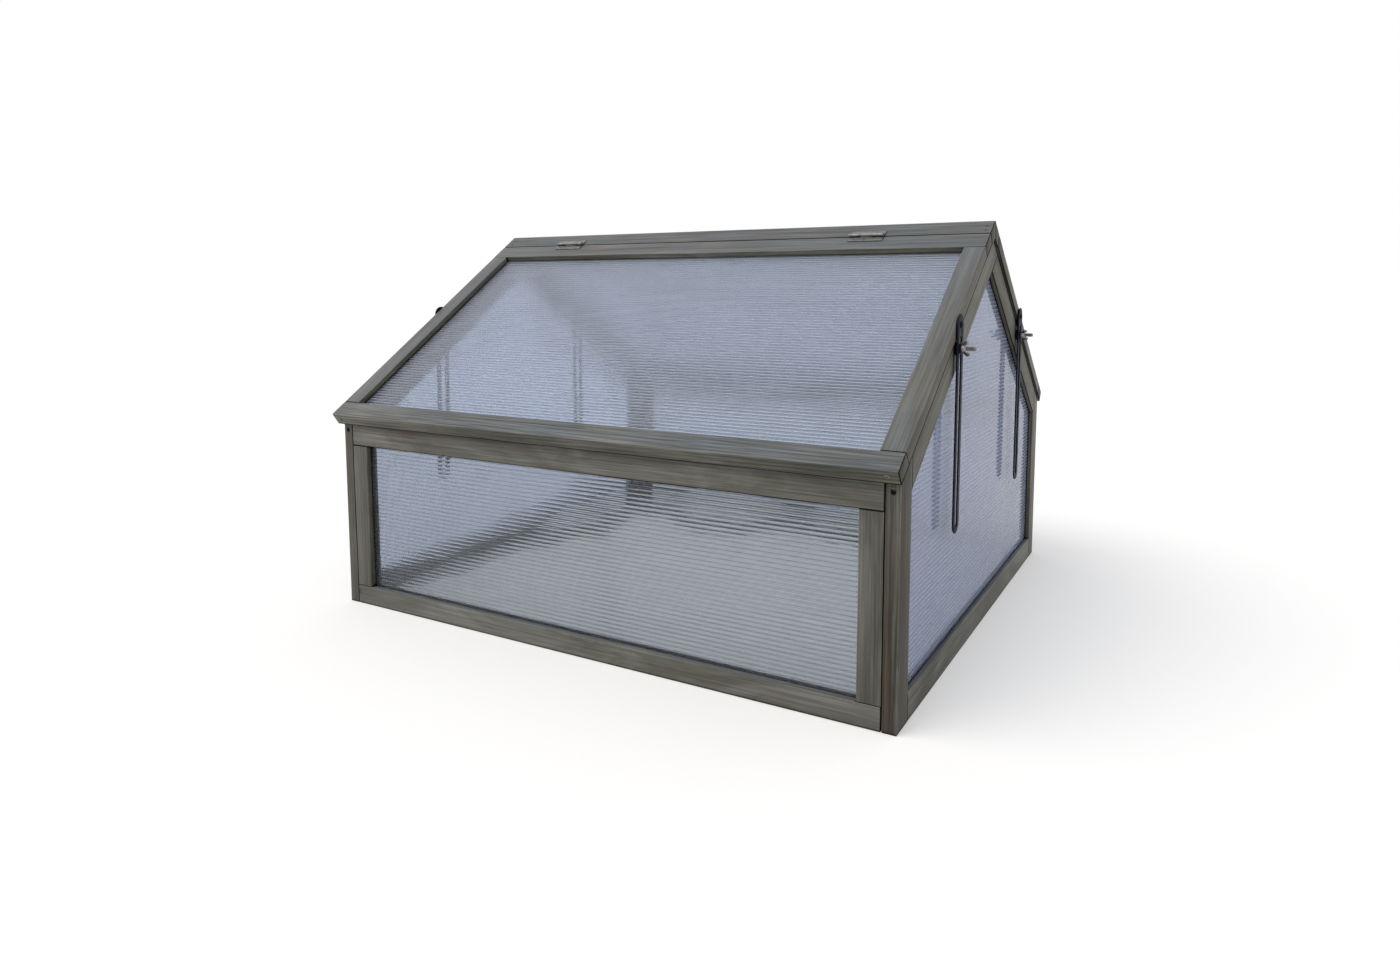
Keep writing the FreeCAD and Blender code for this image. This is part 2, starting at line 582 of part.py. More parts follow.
# Gables: the left gable is the right one turned half round
for hand, x, turn, near, far in (
        ("right", half_width, "rotation(vector(1; 1; 1); 120)", "front", "back"),
        ("left", f"-{half_width}", "rotationz(180) * rotation(vector(1; 1; 1); 120)",
         "back", "front")):
    name = hand + "_gable"
    pieces, screws = gable(name, near, far, at(x, turn=turn), plank_holes[hand])
    finish_timbers(name, pieces, {f"{side}_rafter": [bolt_holes[side, hand]]
                                  for side in ("front", "back")})
    root_screws += screws

node(group("frame_screws", root_screws), "frame_screws")
node(group("ridge_hinge_leaves", hardware["plank_leaves"]), "ridge_hinge_leaves")
node(group("ridge_hinge_screws", ridge_hinge_screws), "ridge_hinge_screws")
node(group("hinge_pins", hardware["pins"]), "hinge_pins")
node(group("stay_bolts", hardware["bolts"]), "stay_bolts")
node(group("stay_spacers", hardware["spacers"]), "stay_spacers")
node(group("clamp_washers", hardware["washers"]), "clamp_washers")

doc.recompute()

for thing in doc.Objects:
    if "Invalid" in thing.State or "Error" in thing.State:
        raise RuntimeError(f"{thing.Name} did not recompute: {thing.State}")
os.makedirs("parts", exist_ok=True)
for thing in nodes:
    if thing.Shape.isNull() or not thing.Shape.isValid() or not thing.Shape.Solids:
        raise RuntimeError(f"{thing.Label} has no valid solid")
for thing in nodes:
    thing.Shape.exportStep(f"parts/{thing.Label}.step")
print(len(nodes), "nodes")
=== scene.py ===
import json
import math
import random

import bmesh
import bpy
from mathutils import Matrix, Vector


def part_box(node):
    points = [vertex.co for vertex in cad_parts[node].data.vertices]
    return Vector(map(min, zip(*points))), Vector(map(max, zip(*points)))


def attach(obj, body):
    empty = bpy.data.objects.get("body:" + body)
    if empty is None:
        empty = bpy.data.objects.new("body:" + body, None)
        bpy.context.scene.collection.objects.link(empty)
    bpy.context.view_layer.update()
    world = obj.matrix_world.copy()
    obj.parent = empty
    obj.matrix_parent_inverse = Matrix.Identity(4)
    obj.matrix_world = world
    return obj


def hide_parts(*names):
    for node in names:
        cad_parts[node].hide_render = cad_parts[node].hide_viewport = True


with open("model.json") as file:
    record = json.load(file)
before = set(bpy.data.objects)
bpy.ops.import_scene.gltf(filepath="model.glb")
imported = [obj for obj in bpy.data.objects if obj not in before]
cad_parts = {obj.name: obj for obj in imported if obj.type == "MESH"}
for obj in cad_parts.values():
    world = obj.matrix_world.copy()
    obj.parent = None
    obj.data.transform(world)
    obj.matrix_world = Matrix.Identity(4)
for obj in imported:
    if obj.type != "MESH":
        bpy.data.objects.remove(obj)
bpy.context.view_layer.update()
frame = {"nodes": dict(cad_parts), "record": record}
cadNodes = frame["nodes"]
bodyOf = {node: body for body, members in frame["record"]["behaviour"]["bodies"].items()
          for node in members}
scene = bpy.context.scene

mergeDistance = 0.00001
roofSlope = math.radians(34.4)
grainTurns = {                                  # brings the grain of a timber onto X
    "x": (0.0, 0.0, 0.0),
    "y": (0.0, 0.0, math.radians(-90)),
    "z": (0.0, math.radians(90), 0.0),
    "frontSlope": (-roofSlope, 0.0, math.radians(-90)),
    "backSlope": (roofSlope, 0.0, math.radians(-90)),
}
print("frame loaded")


def deselectAll():
    if bpy.context.object and bpy.context.object.mode != "OBJECT":
        bpy.ops.object.mode_set(mode="OBJECT")
    bpy.ops.object.select_all(action="DESELECT")


def pick(piece):
    deselectAll()
    piece.select_set(True)
    bpy.context.view_layer.objects.active = piece


def addNode(tree, kind, values=None, **settings):
    node = tree.nodes.new(kind)
    for key, value in settings.items():
        setattr(node, key, value)
    for socket, value in (values or {}).items():
        if isinstance(value, bpy.types.NodeSocket):
            tree.links.new(value, node.inputs[socket])
        else:
            node.inputs[socket].default_value = value
    return node


def newMaterial(name):
    material = bpy.data.materials.new(name)
    material.use_nodes = True
    material.node_tree.nodes.clear()
    return material, material.node_tree


def finishMaterial(tree, surface):
    out = addNode(tree, "ShaderNodeOutputMaterial")
    tree.links.new(surface.outputs[0], out.inputs["Surface"])


def calculate(tree, operation, a, b=0.0, clamp=False):
    return addNode(tree, "ShaderNodeMath", {0: a, 1: b}, operation=operation,
                   use_clamp=clamp).outputs[0]


def ramp(tree, value, low, high, out=(0.0, 1.0)):
    return addNode(tree, "ShaderNodeMapRange",
                   {"Value": value, "From Min": low, "From Max": high,
                    "To Min": out[0], "To Max": out[1]},
                   interpolation_type="SMOOTHSTEP").outputs["Result"]


def mixColour(tree, share, a, b, blend="MIX"):
    # a Mix node keeps its colour sockets at places 6 and 7, and the result at 2
    return addNode(tree, "ShaderNodeMix", {0: share, 6: a, 7: b}, data_type="RGBA",
                   blend_type=blend).outputs[2]


def noise(tree, place, scale, detail=3.0, roughness=0.55, distortion=0.0):
    return addNode(tree, "ShaderNodeTexNoise",
                   {"Vector": place, "Scale": scale, "Detail": detail,
                    "Roughness": roughness, "Distortion": distortion}).outputs["Fac"]


def stretched(tree, place, scale):
    return addNode(tree, "ShaderNodeMapping", {"Vector": place, "Scale": scale}).outputs[0]


# stained softwood
woodLook = {
    "greenGrey": (0.118, 0.118, 0.093, 1.0),
    "paleGrey": (0.212, 0.208, 0.178, 1.0),
    "brown": (0.112, 0.083, 0.057, 1.0),
    "grainLine": (0.062, 0.056, 0.043, 1.0),
    "knot": (0.045, 0.034, 0.024, 1.0),
    "worn": (0.27, 0.255, 0.22, 1.0),
    "bleached": (0.173, 0.192, 0.208, 1.0),     # painted highlight: faces that look up, lighter and bluer as if lit by the sky
    "endGrain": (0.036, 0.031, 0.023, 1.0),
    # colour of dark seams and of the painted shade in gaps, under edges and along a lid's lower
    # edge
    "seam": (0.010, 0.009, 0.008, 1.0),
    # how far the painted shade in gaps and corners reaches
    "seamReach": 0.005,
    "dripLine": (0.0024, 0.0042),               # painted shadow: a dark strip at a lid's lower edge, front and side, where the gap under the lid lies
    # how often a pattern changes in a metre, along and across the grain
    "fibre": (9.0, 420.0, 420.0),
    "line": (3.5, 190.0, 190.0),
    "streak": (2.2, 60.0, 60.0),
    "patch": (5.0, 22.0, 22.0),
    "wobble": (1.6, 12.0, 12.0),
    "ringSpacing": 0.0046,
    "ringWobble": 0.022,
    "ringTaper": 0.02,                          # the trunk grows wider along the timber
    "knotsPerMetre": 7.0,
    "knotStretch": (0.55, 1.0, 1.0),
    "knotRadius": 0.05,                         # share of the distance between knots
    "knotPush": 0.006,
    "roughness": (0.47, 0.69),                  # on pale and on dark fibre
    "shine": (0.24, 0.0),                       # of the timber, and of its dark seams and painted shade
    # painted reflection: the shine is tinted blue, as of a sky
    "shineColour": (0.86, 0.94, 1.0, 1.0),
    "bumpStrength": 0.5,
    "bumpDepth": 0.0005,
}


def trunkRadius(tree, local, knots):
    # distance from the pith, which lies beside the timber; knots push the rings aside
    wobble = noise(tree, stretched(tree, local, woodLook["wobble"]), 1.0, 2.0)
    knotPull = ramp(tree, knots, woodLook["knotRadius"] * 4, woodLook["knotRadius"])
    split = addNode(tree, "ShaderNodeSeparateXYZ", {0: local}).outputs
    squares = (calculate(tree, "POWER", split[axis], 2.0) for axis in "YZ")
    radius = calculate(tree, "SQRT", calculate(tree, "ADD", *squares))
    for value, share in ((wobble, woodLook["ringWobble"]), (knotPull, woodLook["knotPush"]),
                         (split["X"], woodLook["ringTaper"])):
        radius = calculate(tree, "ADD", radius, calculate(tree, "MULTIPLY", value, share))
    return radius


def seamDirtAndShade(tree, coordinates, facing, lidGapShadow):
    # stain and dirt gather where two timbers meet; the darkening of gaps and corners by occlusion,
    # of edges that look down and of a strip along the lower edge of a lid is painted shade
    dirty = addNode(tree, "ShaderNodeAttribute", attribute_name="dirty").outputs["Fac"]
    occlusionShade = addNode(tree, "ShaderNodeAmbientOcclusion", {"Distance": woodLook["seamReach"]},
                  samples=8).outputs["AO"]
    share = calculate(tree, "MAXIMUM", calculate(tree, "MULTIPLY", dirty, 0.88),
                      ramp(tree, occlusionShade, 0.9, 0.5, (0.0, 0.96)))
    if not lidGapShadow:
        return share
    # painted shadow of the gap under a lid, along its lower edge
    roofNormal, low = lidGapShadow
    above, facingRoof = (
        addNode(tree, "ShaderNodeVectorMath", {0: coordinates[socket], 1: roofNormal},
                operation="DOT_PRODUCT").outputs["Value"] for socket in ("Object", "Normal"))
    reach = ramp(tree, calculate(tree, "ABSOLUTE", facing["X"]), 0.4, 0.8, woodLook["dripLine"])
    strip = ramp(tree, calculate(tree, "DIVIDE", calculate(tree, "SUBTRACT", above, low), reach),
                 1.0, 0.65)
    onSide = ramp(tree, calculate(tree, "ABSOLUTE", facingRoof), 0.5, 0.3, (0.0, 0.92))
    return calculate(tree, "MAXIMUM", share, calculate(tree, "MULTIPLY", strip, onSide))


def stainedWood(name, grain, look, shift, lidGapShadow):
    palette = woodLook
    material, tree = newMaterial(name)
    coordinates = addNode(tree, "ShaderNodeTexCoord").outputs
    facing = addNode(tree, "ShaderNodeSeparateXYZ", {0: coordinates["Normal"]}).outputs
    local = addNode(tree, "ShaderNodeMapping",
                    {"Vector": coordinates["Object"], "Rotation": grainTurns[grain],
                     "Location": shift}).outputs[0]
    # small knots, drawn out along the grain
    knots = addNode(tree, "ShaderNodeTexVoronoi",
                    {"Vector": stretched(tree, local, palette["knotStretch"]),
                     "Scale": palette["knotsPerMetre"]}).outputs["Distance"]
    knotCore = ramp(tree, knots, palette["knotRadius"], palette["knotRadius"] * 0.4)
    wave = calculate(tree, "SINE", calculate(tree, "MULTIPLY", trunkRadius(tree, local, knots),
                                             2 * math.pi / palette["ringSpacing"]))
    ring = ramp(tree, wave, -0.2, 1.0)
    fibre = noise(tree, stretched(tree, local, palette["fibre"]), 1.0, 4.0, 0.6)
    line = noise(tree, stretched(tree, local, palette["line"]), 1.0, 3.0, 0.6)
    streak = noise(tree, stretched(tree, local, palette["streak"]), 1.0, 4.0, 0.62)
    patch = noise(tree, stretched(tree, local, palette["patch"]), 1.0, 4.0, 0.6, 0.8)
    # the stain is green grey, paler where it dried thin and brown where it soaked in
    colour = mixColour(tree, ramp(tree, patch, 0.38, 0.66), palette["greenGrey"],
                       palette["paleGrey"])
    # painted highlight: faces that look up turn lighter and bluer, as if lit by the sky
    skySheenShare = calculate(tree, "MULTIPLY", ramp(tree, facing["Z"], 0.15, 0.9),
                       ramp(tree, patch, 0.7, 0.35, (0.35, 0.85)))
    colour = mixColour(tree, skySheenShare, colour, palette["bleached"])
    brownShare = calculate(tree, "MULTIPLY", ramp(tree, streak, 0.45, 0.68), look["brown"],
                           clamp=True)
    colour = mixColour(tree, brownShare, colour, palette["brown"])
    colour = mixColour(tree, calculate(tree, "MULTIPLY", ring, look["figure"]), colour,
                       palette["brown"])
    paleShare = calculate(tree, "MULTIPLY", ramp(tree, streak, 0.42, 0.25), look["figure"] * 1.6,
                          clamp=True)
    colour = mixColour(tree, paleShare, colour, palette["worn"])
    # dark grain lines, and pale fibre between them
    lineShare = calculate(tree, "MULTIPLY", ramp(tree, line, 0.55, 0.72),
                          min(0.9, 2.6 * look["figure"]))
    colour = mixColour(tree, lineShare, colour, palette["grainLine"])
    shade = ramp(tree, fibre, 0.32, 0.68, (1.0 - 1.3 * look["figure"], 1.0 + look["figure"]))
    shade = calculate(tree, "MULTIPLY", shade, look["tone"])
    grey = addNode(tree, "ShaderNodeCombineColor", {0: shade, 1: shade, 2: shade}).outputs[0]
    colour = mixColour(tree, 1.0, colour, grey, "MULTIPLY")
    colour = mixColour(tree, calculate(tree, "MULTIPLY", knotCore, 0.75), colour, palette["knot"])
    # end grain drinks more stain
    turnedNormal = addNode(tree, "ShaderNodeMapping",
                           {"Vector": coordinates["Normal"], "Rotation": grainTurns[grain]},
                           vector_type="NORMAL").outputs[0]
    along = calculate(tree, "ABSOLUTE", addNode(
        tree, "ShaderNodeSeparateXYZ", {0: turnedNormal}).outputs["X"])
    colour = mixColour(tree, ramp(tree, along, 0.3, 0.65, (0.0, 0.8)), colour, palette["endGrain"])
    worn = addNode(tree, "ShaderNodeAttribute", attribute_name="worn").outputs["Fac"]
    wornShare = calculate(tree, "MULTIPLY", worn, ramp(tree, patch, 0.42, 0.62, (0.0, 0.45)))
    colour = mixColour(tree, wornShare, colour, palette["worn"])
    # dirt in seams, and painted shade in gaps, under edges and along a lid's lower edge
    dirtAndShadeShare = seamDirtAndShade(tree, coordinates, facing, lidGapShadow)
    colour = mixColour(tree, dirtAndShadeShare, colour, palette["seam"])
    height = calculate(tree, "ADD", calculate(tree, "MULTIPLY", fibre, 0.8),
                       calculate(tree, "MULTIPLY", ring, -0.3))
    height = calculate(tree, "ADD", height, calculate(tree, "MULTIPLY", knotCore, -0.4))
    bump = addNode(tree, "ShaderNodeBump", {"Height": height, "Strength": palette["bumpStrength"],
                                            "Distance": palette["bumpDepth"]}).outputs[0]
    surface = addNode(tree, "ShaderNodeBsdfPrincipled",
                      {"Base Color": colour, "Normal": bump,
                       "Roughness": ramp(tree, fibre, 0.2, 0.8, palette["roughness"]),
                       "Specular IOR Level": ramp(tree, dirtAndShadeShare, 0.0, 1.0, palette["shine"]),
                       "Specular Tint": palette["shineColour"]})
    finishMaterial(tree, surface)
    return material


timbers = {
    "longEdge": 0.0013,                         # rounding of the planed edges
    "endEdge": 0.7,                             # share of it at the sawn ends
    "edgeSteps": 2,
    "shortest": 0.004,                          # rims of screw holes stay sharp
    "sharpest": 0.6,                            # radians, flatter edges stay as they are
    "sawnEnd": 0.25,                            # an eased face that looks this much along the grain
    "shelterBelow": -0.15,                      # edges that look down get painted shade
    "ridgeShelterBelow": 0.6,                   # those along the lid too, painted shade in the gap beside it
    # what sets a timber apart from the rest, as in the photograph
    "looks": {
        "right_gable_front_post": {"tone": 0.6, "brown": 1.5, "figure": 0.36},
        "right_gable_front_rafter": {"tone": 0.86, "brown": 0.5, "figure": 0.2},
        "right_gable_back_rafter": {"tone": 0.84, "brown": 0.5, "figure": 0.2},
        "right_gable_bottom_rail": {"tone": 0.92, "brown": 0.45, "figure": 0.2},
        "right_gable_back_post": {"tone": 0.86, "brown": 0.5, "figure": 0.2},
        "left_gable_front_post": {"tone": 0.8, "brown": 0.4, "figure": 0.16},
        "front_wall_right_stile": {"tone": 0.7, "brown": 0.2, "figure": 0.18},
        "front_wall_top_rail": {"tone": 0.92, "brown": 0.6, "figure": 0.2},
        "front_wall_left_stile": {"tone": 0.87, "brown": 0.2, "figure": 0.18},
        "front_lid_bottom_rail": {"tone": 0.86, "brown": 0.2, "figure": 0.36},
        "front_lid_right_stile": {"tone": 0.88, "brown": 0.5, "figure": 0.18},
        "front_lid_top_rail": {"tone": 0.95, "brown": 0.4, "figure": 0.24},
        "front_ridge_plank": {"tone": 0.82, "brown": 0.3, "figure": 0.28},
    },
}


def grainOf(node):
    if "gable_bottom_rail" in node:
        return "y"
    if "post" in node or "wall" in node and "stile" in node:
        return "z"
    if "rafter" in node:
        return "frontSlope" if "front_rafter" in node else "backSlope"
    if "stile" in node:
        return node.split("_")[0] + "Slope"
    return "x"


def mergedCopy(node, suffix):
    mesh = cadNodes[node].data.copy()
    piece = bpy.data.objects.new(node + suffix, mesh)
    scene.collection.objects.link(piece)
    mesh.materials.clear()
    pick(piece)
    bpy.ops.mesh.customdata_custom_splitnormals_clear()
    bpy.ops.object.mode_set(mode="EDIT")
    bpy.ops.mesh.select_all(action="SELECT")
    bpy.ops.mesh.remove_doubles(threshold=mergeDistance)
    bpy.ops.mesh.dissolve_limited(angle_limit=math.radians(1.0))
    bpy.ops.object.mode_set(mode="OBJECT")
    return piece


def bevelMarked(piece, width, steps, method, grainTurn=None, shelterBelow=0.0):
    mesh = piece.data
    easing = piece.modifiers.new("eased edges", "BEVEL")
    easing.width = width
    easing.segments = steps
    easing.limit_method = method
    easing.angle_limit = math.radians(35)
    easing.use_clamp_overlap = method == "ANGLE"
    easing.material = 1
    mesh.materials.append(None)
    mesh.materials.append(None)
    pick(piece)
    bpy.ops.object.modifier_apply(modifier=easing.name)
    mesh = piece.data
    # dirt stays on the edges of sawn ends, edges that look down get painted shade, the others wear
    worn, dirty = [], []
    for face in mesh.polygons:
        eased = float(face.material_index)
        darkEdge = bool(grainTurn) and (abs((grainTurn @ face.normal).x) > timbers["sawnEnd"]
                                         or face.normal.z < shelterBelow)
        worn.append(0.0 if darkEdge else eased)
        dirty.append(eased if darkEdge else 0.0)
        face.material_index = 0
    for name, values in (("worn", worn), ("dirty", dirty)):
        mesh.attributes.new(name, "FLOAT", "FACE").data.foreach_set("value", values)
    mesh.materials.clear()


def finishPiece(piece, material, node, smooth=30):
    piece.data.materials.clear()
    piece.data.materials.append(material)
    pick(piece)
    bpy.ops.object.shade_smooth_by_angle(angle=math.radians(smooth))
    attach(piece, bodyOf[node])
    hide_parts(node)


def easedTimber(node):
    piece = mergedCopy(node, "_planed")
    grain = grainOf(node)
    turned = Matrix.Identity(3)
    for angle, axis in zip(grainTurns[grain], "XYZ"):
        turned = Matrix.Rotation(angle, 3, axis) @ turned
    # long edges are rounded, sawn ends only broken, grooves and holes left sharp
    shape = bmesh.new()
    shape.from_mesh(piece.data)
    weights = shape.edges.layers.float.new("bevel_weight_edge")
    for edge in shape.edges:
        run = turned @ (edge.verts[1].co - edge.verts[0].co)
        if (run.length < timbers["shortest"] or not edge.is_convex
                or edge.calc_face_angle(0) < timbers["sharpest"]):
            continue
        alongGrain = abs(run.x) > 0.9 * run.length
        edge[weights] = 1.0 if alongGrain else timbers["endEdge"]
    shape.to_mesh(piece.data)
    shape.free()
    shelterBelow = timbers["ridgeShelterBelow" if "ridge" in node else "shelterBelow"]
    bevelMarked(piece, timbers["longEdge"], timbers["edgeSteps"], "WEIGHT", turned, shelterBelow)
    look = timbers["looks"].get(node) or {"tone": random.uniform(0.88, 1.0),
                                          "brown": random.uniform(0.1, 0.45),
                                          "figure": random.uniform(0.14, 0.24)}
    # the pith lies beside the timber, somewhere new for each
    turn = random.uniform(0, 2 * math.pi)
    away = random.uniform(0.05, 0.12)
    home = turned @ (sum((Vector(corner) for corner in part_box(node)), Vector()) / 2)
    shift = (random.uniform(-3, 3), away * math.cos(turn) - home.y, away * math.sin(turn) - home.z)
    # a lid gets a painted shadow strip along its lower edge
    lidGapShadow = None
    if "_lid_" in node:
        tilt = roofSlope if "front" in node else -roofSlope
        roofNormal = Vector((0.0, -math.sin(tilt), math.cos(tilt)))
        lidGapShadow = roofNormal, min(roofNormal.dot(vertex.co) for vertex in piece.data.vertices)
    finishPiece(piece, stainedWood("stain_" + node, grain, look, shift, lidGapShadow), node)


random.seed(11)
timberNodes = [node for node in sorted(cadNodes)
               if any(word in node for word in ("rail", "stile", "post", "rafter", "ridge_plank"))]
for node in timberNodes:
    easedTimber(node)
print("timbers planed and stained:", len(timberNodes))


# twin-wall sheet: clear skins that bow a little between the ribs, so each channel is a weak lens
paneLook = {
    # colour of a sheet, how steep its bowed skin is beside a rib, the share that scatters,
    # and on the line over a rib the share of ribColour and the further share that scatters
    # painted light and shade: the sheets are one material, yet each has its own tint, scatter and
    # rib lines, so the right gable comes out bluer and darker and the front wall shows dark rib
    # lines
    "sheets": {
        "lid": {"tint": (0.765, 0.80, 0.865, 1.0), "bow": 0.11, "milk": 0.04,
                "ribShade": 0.0, "ribMilk": 0.42},
        "front_wall": {"tint": (0.755, 0.775, 0.795, 1.0), "bow": 0.11, "milk": 0.04,
                       "ribShade": 0.5, "ribMilk": 0.0},
        "back_wall": {"tint": (0.71, 0.745, 0.79, 1.0), "bow": 0.11, "milk": 0.04,
                      "ribShade": 0.0, "ribMilk": 0.3},
        "left_gable": {"tint": (0.81, 0.85, 0.925, 1.0), "bow": 0.05, "milk": 0.04,
                       "ribShade": 0.0, "ribMilk": 0.3},
        "right_gable": {"tint": (0.6, 0.65, 0.77, 1.0), "bow": 0.07, "milk": 0.2,
                        "ribShade": 0.0, "ribMilk": 0.4},
    },
    "clear": (0.97, 0.98, 1.0, 1.0),            # the ribs themselves
    "roughness": 0.015,
    "bend": 1.12,
    "ribPitch": 0.0059,
    "ribLine": (0.86, 0.97),                    # cosine at the edge and in the middle of that line
    "ribColour": (0.28, 0.30, 0.36, 1.0),
    "unevenSize": 9.0,
    "unevenBow": (0.6, 1.4),                    # times the bow, from place to place
    "bounces": 32,                              # light crosses many skins
}


def twinWallSheet(node):
    look = paneLook
    acrossAxis = Vector((0, 0, 1))
    if "lid" in node:
        turn = -roofSlope if "front" in node else roofSlope
        acrossAxis = Vector((0, math.cos(turn), -math.sin(turn)))
    low = min(acrossAxis.dot(vertex.co) for vertex in cadNodes[node].data.vertices)
    own = next(sheet for place, sheet in look["sheets"].items() if place in node)
    material, tree = newMaterial("twin_wall_" + node)
    coordinates = addNode(tree, "ShaderNodeTexCoord").outputs
    across = addNode(tree, "ShaderNodeVectorMath", {0: coordinates["Object"], 1: acrossAxis},
                     operation="DOT_PRODUCT").outputs["Value"]
    phase = calculate(tree, "MULTIPLY", calculate(tree, "SUBTRACT", across, low),
                      2 * math.pi / look["ribPitch"])
    uneven = ramp(tree, noise(tree, coordinates["Object"], look["unevenSize"], 2.0), 0.3, 0.7,
                  look["unevenBow"])
    slope = calculate(tree, "MULTIPLY", calculate(tree, "SINE", phase),
                      calculate(tree, "MULTIPLY", uneven, own["bow"]))
    # seen from inside the skin the normal comes turned about
    geometry = addNode(tree, "ShaderNodeNewGeometry").outputs
    side = ramp(tree, geometry["Backfacing"], 0.0, 1.0, (1.0, -1.0))
    slope = calculate(tree, "MULTIPLY", slope, side)
    tilt = addNode(tree, "ShaderNodeVectorMath", {0: acrossAxis, "Scale": slope},
                   operation="SCALE").outputs[0]
    tilt = addNode(tree, "ShaderNodeVectorTransform", {0: tilt}, vector_type="VECTOR",
                   convert_from="OBJECT", convert_to="WORLD").outputs[0]
    normal = addNode(tree, "ShaderNodeVectorMath", {0: geometry["Normal"], 1: tilt}).outputs[0]
    normal = addNode(tree, "ShaderNodeVectorMath", {0: normal}, operation="NORMALIZE").outputs[0]
    # the ribs stay clear and only bend the light
    onRib = calculate(tree, "ABSOLUTE", addNode(
        tree, "ShaderNodeVectorMath", {0: coordinates["Normal"], 1: acrossAxis},
        operation="DOT_PRODUCT").outputs["Value"])
    colour = mixColour(tree, ramp(tree, onRib, 0.4, 0.6), own["tint"], look["clear"])
    # seen square on, a rib is a thin line, darker or a little milky
    onLine = ramp(tree, calculate(tree, "COSINE", phase), *look["ribLine"])
    colour = mixColour(tree, calculate(tree, "MULTIPLY", onLine, own["ribShade"]), colour,
                       look["ribColour"])
    clear = calculate(tree, "SUBTRACT", 1.0 - own["milk"],
                      calculate(tree, "MULTIPLY", onLine, own["ribMilk"]))
    surface = addNode(tree, "ShaderNodeBsdfPrincipled",
                      {"Base Color": colour, "Roughness": look["roughness"],
                       "IOR": look["bend"], "Transmission Weight": clear,
                       "Normal": normal})
    finishMaterial(tree, surface)
    return material


for node in cadNodes:
    if node.endswith("_pane"):
        cadNodes[node].data.materials.clear()
        cadNodes[node].data.materials.append(twinWallSheet(node))
scene.cycles.max_bounces = paneLook["bounces"]
scene.cycles.transmission_bounces = paneLook["bounces"]
print("panes glazed")


# spangled zinc, duller sheet and black paint; worn is the colour of their eased edges
metals = {
    "zinc": {"colour": (0.27, 0.27, 0.27, 1.0), "dull": (0.11, 0.11, 0.112, 1.0),
             "worn": (0.78, 0.78, 0.78, 1.0), "metallic": 1.0, "roughness": 0.24, "grain": 240},
    "leaf": {"colour": (0.22, 0.22, 0.215, 1.0), "dull": (0.11, 0.11, 0.105, 1.0),
             "worn": (0.62, 0.62, 0.61, 1.0), "metallic": 1.0, "roughness": 0.4, "grain": 200},
    "black": {"colour": (0.006, 0.008, 0.018, 1.0), "dull": (0.012, 0.014, 0.024, 1.0),
              "worn": (0.035, 0.038, 0.05, 1.0), "metallic": 0.0, "roughness": 0.42, "grain": 420,
              "sheen": 0.04},
}


def metalMaterial(kind):
    look = metals[kind]
    material, tree = newMaterial(kind + "_steel")
    place = addNode(tree, "ShaderNodeTexCoord").outputs["Object"]
    spangle = addNode(tree, "ShaderNodeTexVoronoi",
                      {"Vector": place, "Scale": look["grain"]}).outputs["Color"]
    spangle = addNode(tree, "ShaderNodeSeparateColor", {0: spangle}).outputs[0]
    cloud = noise(tree, place, 130.0, 4.0, 0.65)
    fine = noise(tree, place, 1800.0, 3.0, 0.6)
    share = calculate(tree, "ADD", calculate(tree, "MULTIPLY", spangle, 0.25),
                      ramp(tree, cloud, 0.42, 0.68, (0.0, 0.7)), clamp=True)
    colour = mixColour(tree, share, look["colour"], look["dull"])
    worn = addNode(tree, "ShaderNodeAttribute", attribute_name="worn").outputs["Fac"]
    wornShare = calculate(tree, "MULTIPLY", worn, ramp(tree, cloud, 0.35, 0.6, (0.25, 0.9)))
    colour = mixColour(tree, wornShare, colour, look["worn"])
    rough = calculate(tree, "ADD", look["roughness"], calculate(tree, "MULTIPLY", share, 0.16))
    bump = addNode(tree, "ShaderNodeBump", {"Height": fine, "Strength": 0.3,
                                            "Distance": 0.00006}).outputs[0]
    surface = addNode(tree, "ShaderNodeBsdfPrincipled",
                      {"Base Color": colour, "Roughness": rough, "Metallic": look["metallic"],
                       "Specular IOR Level": look.get("sheen", 0.5), "Normal": bump})
    finishMaterial(tree, surface)
    return material


steel = {kind: metalMaterial(kind) for kind in metals}

# sheet and cast pieces keep their CAD form, with the sharp edges taken off
easedMetal = {
    "_stay": {"width": 0.0003, "material": "black", "slot": "black_steel"},
    "_wing_nut": {"width": 0.0005, "material": "zinc", "slot": "zinc_steel"},
    "stay_spacers": {"width": 0.00025, "material": "black", "slot": "black_steel"},
    "clamp_washers": {"width": 0.00025, "material": "black", "slot": "black_steel"},
    "hinge_leaves": {"width": 0.00025, "material": "leaf", "slot": "zinc_steel"},
    "hinge_pins": {"width": 0.0003, "material": "zinc", "slot": "zinc_steel"},
}
for node in sorted(cadNodes):
    for ending, look in easedMetal.items():
        if node.endswith(ending):
            piece = mergedCopy(node, "_eased")
            bevelMarked(piece, look["width"], 2, "ANGLE")
            finishPiece(piece, steel[look["material"]], node)
print("stays, nuts, washers and hinges eased")


def selectFaces(piece, wanted):
    shape = bmesh.from_edit_mesh(piece.data)
    for part in (shape.verts, shape.edges, shape.faces):
        for item in part:
            item.select = False
    for face in shape.faces:
        if wanted(face):
            face.select_set(True)
    bmesh.update_edit_mesh(piece.data)


def stepUp(lift, grow):
    bpy.ops.mesh.extrude_region_move(TRANSFORM_OT_translate={"value": (0, 0, lift)})
    if grow != 1:
        bpy.ops.transform.resize(value=(grow, grow, 1), center_override=(0, 0, 0))


